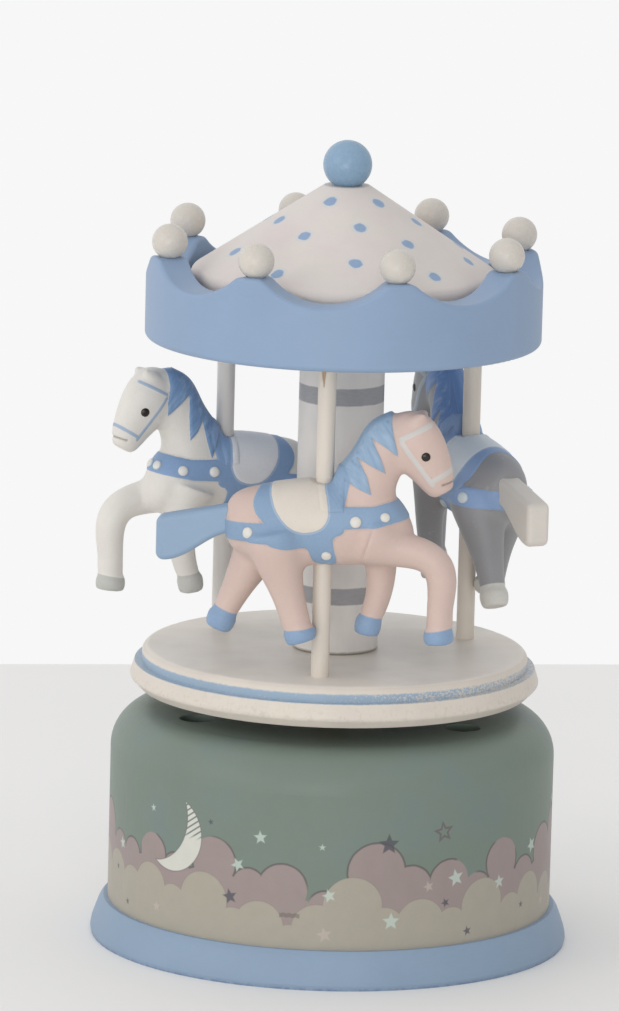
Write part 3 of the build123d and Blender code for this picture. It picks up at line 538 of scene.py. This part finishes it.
HOOF_LINE = [(-25.0, -21.3), (-18.9, -21.7), (-14.2, -23.8), (-5.6, -24.9), (-0.4, -24.1), (5.6, -22.5),
             (9.8, -23.4), (17.5, -24.1), (22.3, -23.2), (30.0, -23.2)]
BRIDLE = [[(12.7, 7.6), (17.2, 9.9)], [(12.8, 7.0), (17.9, 0.2)], [(17.7, 0.6), (23.0, 3.9)]]
MOUTH = [(19.6, 0.1), (23.0, 1.2)]
MANES = {
    "pink": [(11.1, 16.0), (11.0, 10.3), (11.4, 8.1), (12.3, 4.6), (10.0, 6.3), (7.8, 7.5), (9.4, 4.4),
             (10.3, 1.8), (7.4, 3.3), (5.6, 4.2), (7.3, 1.2), (8.1, -1.7), (5.6, -0.6), (3.6, 0.7),
             (3.7, -4.6), (0.0, -4.6), (-1.5, 3.0), (3.0, 12.0), (8.0, 16.0)],
    "white": [(12.1, 16.0), (12.0, 9.0), (12.5, 6.2), (12.3, 3.9), (10.4, 5.6), (8.4, 7.3), (8.6, 3.4),
              (8.5, -0.4), (7.1, 1.0), (6.0, 2.8), (5.5, -0.4), (4.8, -3.5), (3.4, -1.2), (2.5, 0.7),
              (2.4, -4.6), (0.0, -4.6), (-1.5, 3.0), (3.0, 12.0), (8.0, 16.0)],
}
STUDS = {
    "pink": [(-11.9, -8.6, 0.95), (1.0, -12.0, 0.85), (5.8, -6.0, 0.95), (10.5, -5.2, 0.8)],
    "white": [(-11.9, -8.6, 0.95), (1.0, -12.0, 0.85), (4.7, -5.6, 0.9), (10.2, -5.2, 0.85),
              (13.4, -4.6, 0.8)],
}
EYE = (16.8, 4.9, 0.78)
HORSES = {
    "pink": dict(heading=-5.9, body="#CFB8AE", mane="#8FA9C2", blanket="#88A1BD", saddle="#DAD1C5",
                 bridle="#CBC7C3", bridle_width=0.42, hoof="#87A0BE", stud="#DDDAD2", pattern="pink"),
    "grey": dict(heading=114.1, body="#959597", mane="#6B8DC0", blanket="#8AA4C9", saddle="#D8DFE4",
                 bridle="#A9B4BC", bridle_width=0.4, hoof="#CCCAC3", stud="#C9D3D8", pattern="white"),
    "white": dict(heading=209.1, body="#DEDAD3", mane="#7595BC", blanket="#84A0C4", saddle="#DEDFE2",
                  bridle="#A0B2C8", bridle_width=0.27, hoof="#BBBBB6", stud="#E0DFDA", pattern="white"),
}


def rounded(points, steps=6):
    """A closed smooth curve through the points."""
    count = len(points)
    points = np.array(points)
    result = []
    for i in range(count):
        a, b, c, d = (points[(i + k - 1) % count] for k in range(4))
        for t in np.linspace(0, 1, steps, endpoint=False):
            result.append(0.5 * (2 * b + (c - a) * t + (2 * a - 5 * b + 4 * c - d) * t ** 2
                                 + (3 * b - a - 3 * c + d) * t ** 3))
    return result


def to_line(x, z, line):
    """Distance of each place to an open line."""
    best = np.full(len(x), 1e3)
    for (ax, az), (bx, bz) in zip(line[:-1], line[1:]):
        dx, dz = bx - ax, bz - az
        t = np.clip(((x - ax) * dx + (z - az) * dz) / (dx * dx + dz * dz), 0, 1)
        best = np.minimum(best, np.hypot(x - ax - t * dx, z - az - t * dz))
    return best


def to_area(x, z, outline):
    """Signed distance of each place to a closed outline, below 0 inside."""
    closed = list(outline) + [outline[0]]
    best = to_line(x, z, closed)
    within = np.zeros(len(x), bool)
    for (ax, az), (bx, bz) in zip(closed[:-1], closed[1:]):
        crosses = (az > z) != (bz > z)
        if az != bz:
            within ^= crosses & (x < ax + (z - az) * (bx - ax) / (bz - az))
    return np.where(within, -best, best)


def smooth_step(value, low, high):
    """0 below low, 1 above high, and smooth between."""
    t = np.clip((value - low) / (high - low), 0, 1)
    return t * t * (3 - 2 * t)


def horse_finish(name, look):
    """Painted coat, mane and tack, placed by the distances that build_horse stores on the mesh."""
    s = Shade(f"horse_{name}_finish", specular=0.4)
    ragged = (s.noise(1.3, 3.0, 0.6) - 0.5) * 0.28
    cloud = s.noise(0.16, 4.0, 0.55)
    fine = s.noise(2.2, 4.0, 0.6)
    strands = s.join(s.attribute("hair"), s.z * 0.10, s.attribute("hair_across"))
    hair = s.noise(1.6, 3.0, 0.6, vector=strands)
    tone = 1.0 + (cloud - 0.5) * 0.13 + (fine - 0.5) * 0.07

    def area(attribute):
        return s.inside(s.attribute(attribute) + ragged * 0.5, 0.10)

    colour = s.shift(look["body"], tone)
    worn = s.ramp(s.noise(0.5, 5.0, 0.7), 0.60, 0.72)
    colour = s.mix(worn * 0.16, colour, "#E4DCD2")
    mane_tone = s.mix(s.ramp(hair, 0.48, 0.70) * 0.45, look["mane"], "#A9BDD2")
    mane_tone = s.mix(s.ramp(hair, 0.48, 0.28) * 0.35, mane_tone, "#58779F")
    blanket_tone = s.shift(look["blanket"], 1.0 + (fine - 0.5) * 0.16 + (cloud - 0.5) * 0.14)
    colour = s.mix(area("bridle"), colour, s.shift(look["bridle"], tone))
    colour = s.mix(area("mane"), colour, mane_tone)
    colour = s.mix(area("straps"), colour, blanket_tone)
    colour = s.mix(area("blanket"), colour, blanket_tone)
    colour = s.mix(area("saddle"), colour, s.shift(look["saddle"], tone))
    hoof_tone = s.shift(look["hoof"], 1.0 + (fine - 0.5) * 0.2 + (cloud - 0.5) * 0.15)
    colour = s.mix(area("hooves"), colour, hoof_tone)
    border = s.inside(s.math("ABSOLUTE", s.attribute("saddle") - 0.22) - 0.12, 0.1)
    colour = s.mix(border * 0.35, colour, "#C7D2DC")
    # painted shade: the carved mouth groove is darkened along its line
    colour = s.mix(s.inside(s.attribute("mouth") - 0.05, 0.14) * 0.45, colour, "#6F5A52")
    # painted shade: the coat is darkened where the skin sits in a hollow or crease
    hollow_shade = s.ramp(s.attribute("hollow"), 0.15, 0.9)
    colour = s.mix(hollow_shade * 0.35, colour, "#6B625C")
    s.bump(fine * 0.35 + cloud * 0.4 + hair * area("mane") * 1.4, 0.09)
    return s.finish(colour, 0.44 + (fine - 0.5) * 0.16 + (cloud - 0.5) * 0.12)


def domes(name, places, material):
    """Small round-headed studs: each is (centre, outward direction, radius), in metres."""
    tall = 0.42
    mesh = bpy.data.meshes.new(name)
    work = bmesh.new()
    rings, sides = 5, 24
    for centre, outward, radius in places:
        turn = Vector((0, 0, 1)).rotation_difference(Vector(outward)).to_matrix().to_4x4()
        move = Matrix.Translation(Vector(centre)) @ turn
        previous = None
        for ring in range(rings + 1):
            climb = ring / rings * pi / 2
            reach = radius * (cos(climb) if ring else 1.03)
            up = radius * tall * (sin(climb) if ring else -0.8)
            if ring == rings:
                row = [work.verts.new(move @ Vector((0, 0, radius * tall)))]
            else:
                row = [work.verts.new(move @ Vector((reach * cos(a), reach * sin(a), up)))
                       for a in np.linspace(0, 2 * pi, sides, endpoint=False)]
            if previous is None:
                work.faces.new(list(reversed(row)))
            elif len(row) == 1:
                for k in range(sides):
                    work.faces.new((previous[k], previous[(k + 1) % sides], row[0]))
            else:
                for k in range(sides):
                    work.faces.new((previous[k], previous[(k + 1) % sides], row[(k + 1) % sides], row[k]))
            previous = row
    work.to_mesh(mesh)
    work.free()
    for face in mesh.polygons:
        face.use_smooth = len(face.vertices) <= 4
    piece = bpy.data.objects.new(name, mesh)
    bpy.context.scene.collection.objects.link(piece)
    piece.data.materials.append(material)
    return piece


def even_copy(source, name):
    """A copy of a casting, remeshed evenly."""
    mesh = source.data.copy()
    mesh.name = name
    piece = bpy.data.objects.new(name, mesh)
    bpy.context.scene.collection.objects.link(piece)
    weld = bmesh.new()
    weld.from_mesh(mesh)
    bmesh.ops.remove_doubles(weld, verts=weld.verts, dist=1e-6)
    weld.to_mesh(mesh)
    weld.free()
    remesh = piece.modifiers.new("even", "REMESH")
    remesh.mode = "VOXEL"
    remesh.voxel_size = VOXEL * MM
    evaluated = piece.evaluated_get(bpy.context.evaluated_depsgraph_get())
    fresh = bpy.data.meshes.new_from_object(evaluated)
    piece.modifiers.clear()
    piece.data = fresh
    return piece


class Skin:
    """The points of a mesh, held as an array so that they can be smoothed and moved."""

    def __init__(self, mesh):
        self.mesh = mesh
        self.count = len(mesh.vertices)
        places = np.empty(self.count * 3)
        mesh.vertices.foreach_get("co", places)
        self.places = places.reshape(-1, 3)
        edges = np.empty(len(mesh.edges) * 2, int)
        mesh.edges.foreach_get("vertices", edges)
        self.edges = edges.reshape(-1, 2)
        self.valence = np.bincount(self.edges.ravel(), minlength=self.count)[:, None].astype(float)

    def average(self, values):
        """The mean of each point's neighbours."""
        total = np.zeros_like(values)
        np.add.at(total, self.edges[:, 0], values[self.edges[:, 1]])
        np.add.at(total, self.edges[:, 1], values[self.edges[:, 0]])
        return total / self.valence

    def normals(self):
        """Write the points to the mesh, and read its normals."""
        self.mesh.vertices.foreach_set("co", self.places.ravel())
        self.mesh.update()
        out = np.empty(self.count * 3)
        self.mesh.vertices.foreach_get("normal", out)
        return out.reshape(-1, 3)

    def smooth(self, passes, share):
        for _ in range(passes):
            self.places += share * (self.average(self.places) - self.places)

    def soften(self):
        """Round the casting without shrinking it, and fill its creases."""
        for _ in range(ROUNDING_PASSES):
            self.smooth(1, 0.6)
            self.smooth(1, -0.62)
        for _ in range(CREASE_PASSES):
            step = self.average(self.places) - self.places
            outward = np.einsum("ij,ij->i", step, self.normals())
            self.places += step * (0.75 * smooth_step(outward / MM, 0.0005, 0.004))[:, None]
        self.smooth(LAST_PASSES, 0.5)

    def hollows(self):
        """How deep each point sits below its neighbours, from about 0 to 1."""
        depth = -np.einsum("ij,ij->i", self.places - self.average(self.places), self.normals()) / MM
        return self.average(depth[:, None])[:, 0] * 40


def tack_distances(x, z, look):
    """Distance of each place to each painted area, below 0 inside."""
    hoof_x, hoof_z = zip(*HOOF_LINE)
    above_hoof = z - np.interp(x, hoof_x, hoof_z)
    return {
        "saddle": to_area(x, z, rounded(SADDLE, 5)),
        "blanket": to_area(x, z, rounded(BLANKET, 3)),
        "straps": np.minimum(to_area(x, z, REAR_STRAP), to_area(x, z, CHEST_STRAP)),
        "mane": to_area(x, z, MANES[look["pattern"]]),
        "bridle": np.min([to_line(x, z, line) for line in BRIDLE], axis=0) - look["bridle_width"],
        "mouth": to_line(x, z, MOUTH) - 0.1,
        "hooves": np.where(z < HIGHEST_HOOF, above_hoof, 5.0),
    }


def relief(areas, sideways):
    """How far the tack, the mane and the bridle stand proud, and the mouth is cut in, in millimetres."""
    tack = np.minimum(np.minimum(areas["blanket"], areas["straps"]), areas["saddle"])
    height = 0.16 * smooth_step(-tack, -0.10, 0.30)
    height += 0.10 * smooth_step(-areas["saddle"], -0.10, 0.30)
    height += 0.20 * smooth_step(-areas["mane"], -0.10, 0.45)
    height += 0.10 * smooth_step(-areas["bridle"], -0.12, 0.22) * sideways
    height -= 0.28 * smooth_step(-areas["mouth"], -0.28, 0.05)
    return height


def build_horse(name, look):
    """The carved horse: softened from the CAD casting, with its painted tack standing slightly proud."""
    pole_low, pole_high = size_of(f"pole_{name}")
    low, high = size_of(f"horse_{name}")
    horse = even_copy(nodes[f"horse_{name}"], f"carved_horse_{name}")
    skin = Skin(horse.data)
    skin.soften()

    heading = radians(look["heading"])
    forward = np.array((cos(heading), sin(heading), 0.0))
    side = np.array((-sin(heading), cos(heading), 0.0))
    pole = np.array(((pole_low[0] + pole_high[0]) / 2, (pole_low[1] + pole_high[1]) / 2, 0.0))
    saddle_height = SADDLE_HEIGHTS[name] * MM
    x = (skin.places - pole) @ forward / MM
    y = (skin.places - pole) @ side / MM
    z = (skin.places[:, 2] - saddle_height) / MM
    facing = skin.normals()
    sideways = np.abs(facing @ side)
    areas = tack_distances(x, z, look)
    # the relief keeps off the pole and inside the box of the casting
    raise_by = relief(areas, sideways) * smooth_step(np.hypot(x, y), 1.9, 2.6)
    skin.places += facing * (raise_by * MM)[:, None]
    skin.places = np.clip(skin.places, low, high)

    areas["hollow"] = skin.hollows()
    areas["hair"] = (x * 0.8 + z * 0.59) * smooth_step(sideways, 0.25, 0.7)
    areas["hair_across"] = y * 0.8
    mesh = horse.data
    for key, values in areas.items():
        layer = mesh.attributes.new(key, "FLOAT", "POINT")
        layer.data.foreach_set("value", values.astype(np.float32))
    mesh.materials.clear()
    mesh.materials.append(horse_finish(name, look))
    mesh.polygons.foreach_set("use_smooth", [True] * len(mesh.polygons))
    mesh.update()

    tree = BVHTree.FromObject(horse, bpy.context.evaluated_depsgraph_get())

    def on_skin(forward_mm, up_mm, radius, lift):
        """Where a dome sits on each flank, as far as the flank is hit."""
        places = []
        for which in (1, -1):
            start = pole + forward * forward_mm * MM + side * which * FAR_ASIDE
            start[2] = saddle_height + up_mm * MM
            hit, normal, _, _ = tree.ray_cast(Vector(start), Vector(-side * which))
            if hit is not None:
                places.append((hit + normal * lift * MM, normal, radius * MM))
        return places

    studs = [place for stud in STUDS[look["pattern"]] for place in on_skin(*stud, STUD_LIFT)]
    stud_piece = domes(f"studs_{name}", studs, stud_paints[name])
    eye_piece = domes(f"eyes_{name}", on_skin(*EYE, EYE_LIFT), eye_gloss)
    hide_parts(f"horse_{name}")
    for piece in (horse, stud_piece, eye_piece):
        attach(piece, "carousel")


eye_shade = Shade("eye_gloss", roughness=0.18)
eye_cloud = eye_shade.noise(1.5, 3.0, 0.6)
eye_shade.bump(eye_cloud, 0.02)
eye_gloss = eye_shade.finish(eye_shade.mix(eye_cloud * 0.5, "#1B1412", "#2B211D"), 0.16 + eye_cloud * 0.12)
stud_paints = {name: paint(f"stud_{name}_paint", look["stud"], gloss=0.4, depth=0.03)
               for name, look in HORSES.items()}
for name, look in HORSES.items():
    build_horse(name, look)

ALONG_TAIL = dict(gloss=0.44, streaks=(0.5, 0.5, 1.5))
tail_blue = paint("tail_blue_paint", "#8FA7C0", **ALONG_TAIL)
cover("tail_pink", tail_blue)
cover("tail_white", tail_blue)
cover("tail_grey", paint("tail_pale_paint", "#D6D0C7", **ALONG_TAIL))

# ---------------------------------------------------------------- stage, lights and camera

floor_reach = 3.0
floor_front = -2.6
floor_back = 0.217
far_edge_skew = 0.122                # the paper's far edge runs slightly askew
floor_mesh = bpy.data.meshes.new("floor")
floor_corners = [(-floor_reach, floor_front, 0), (floor_reach, floor_front, 0),
                 (floor_reach, floor_back + floor_reach * far_edge_skew, 0),
                 (-floor_reach, floor_back - floor_reach * far_edge_skew, 0)]
floor_mesh.from_pydata(floor_corners, [], [(0, 1, 2, 3)])
floor = bpy.data.objects.new("floor", floor_mesh)
bpy.context.scene.collection.objects.link(floor)
floor_shade = Shade("floor_paper", roughness=0.7)
floor_tone = 1.0 + (floor_shade.noise(0.02) - 0.5) * 0.03
floor_mesh.materials.append(floor_shade.finish(floor_shade.shift("#F3F2F0", floor_tone)))

world = bpy.data.worlds.new("studio")
bpy.context.scene.world = world
world.use_nodes = True
sky = world.node_tree
sky.nodes.clear()
light_path = sky.nodes.new("ShaderNodeLightPath")
room = sky.nodes.new("ShaderNodeBackground")
room.inputs["Color"].default_value = (0.99, 0.99, 1.0, 1.0)
direction = sky.nodes.new("ShaderNodeTexCoord")
slope = sky.nodes.new("ShaderNodeVectorMath")
slope.operation = "DOT_PRODUCT"
slope.inputs[1].default_value = (-0.20, 0.14, 0.12)      # brighter from the left, the back and above
level = sky.nodes.new("ShaderNodeMath")
level.inputs[1].default_value = 0.76
sky.links.new(direction.outputs["Generated"], slope.inputs[0])
sky.links.new(slope.outputs["Value"], level.inputs[0])
sky.links.new(level.outputs[0], room.inputs["Strength"])
wall = sky.nodes.new("ShaderNodeBackground")
wall.inputs["Color"].default_value = linear("#F7F7F7")
wall.inputs["Strength"].default_value = 1.0
pick = sky.nodes.new("ShaderNodeMixShader")
sky_output = sky.nodes.new("ShaderNodeOutputWorld")
sky.links.new(light_path.outputs["Is Camera Ray"], pick.inputs[0])
sky.links.new(room.outputs[0], pick.inputs[1])
sky.links.new(wall.outputs[0], pick.inputs[2])
sky.links.new(pick.outputs[0], sky_output.inputs[0])

MIDDLE = (0, 0, 0.07)


def softbox(name, place, size, power, tint=(1, 1, 1)):
    """A rectangular lamp aimed at the middle of the object."""
    data = bpy.data.lights.new(name, "AREA")
    data.shape = "RECTANGLE"
    data.size, data.size_y = size
    data.energy = power
    data.color = tint
    lamp = bpy.data.objects.new(name, data)
    bpy.context.scene.collection.objects.link(lamp)
    aim = Vector(MIDDLE) - Vector(place)
    lamp.matrix_world = Matrix.Translation(place) @ aim.to_track_quat("-Z", "Y").to_matrix().to_4x4()


softbox("key", (-0.95, -0.7, 0.55), (0.5, 0.5), 1.3, (1.0, 0.98, 0.96))
softbox("front", (0.12, -1.3, 0.62), (0.22, 0.22), 1.0)
softbox("fill", (-0.25, -1.35, 0.16), (0.7, 0.3), 3.0)

camera_data = bpy.data.cameras.new("camera")
camera_data.lens = 291.6
camera_data.sensor_width = 36.0
camera_data.clip_start = 0.05
camera_data.clip_end = 20.0
camera = bpy.data.objects.new("camera", camera_data)
bpy.context.scene.collection.objects.link(camera)
looking_down, leaning = radians(10.925), radians(1.482)
camera.matrix_world = (Matrix.Translation((-0.004868, -1.342132, 0.332319))
                       @ Euler((pi / 2 - looking_down, 0, 0)).to_matrix().to_4x4()
                       @ Matrix.Rotation(leaning, 4, "Z"))
bpy.context.scene.camera = camera
bpy.context.scene.view_settings.view_transform = "Standard"
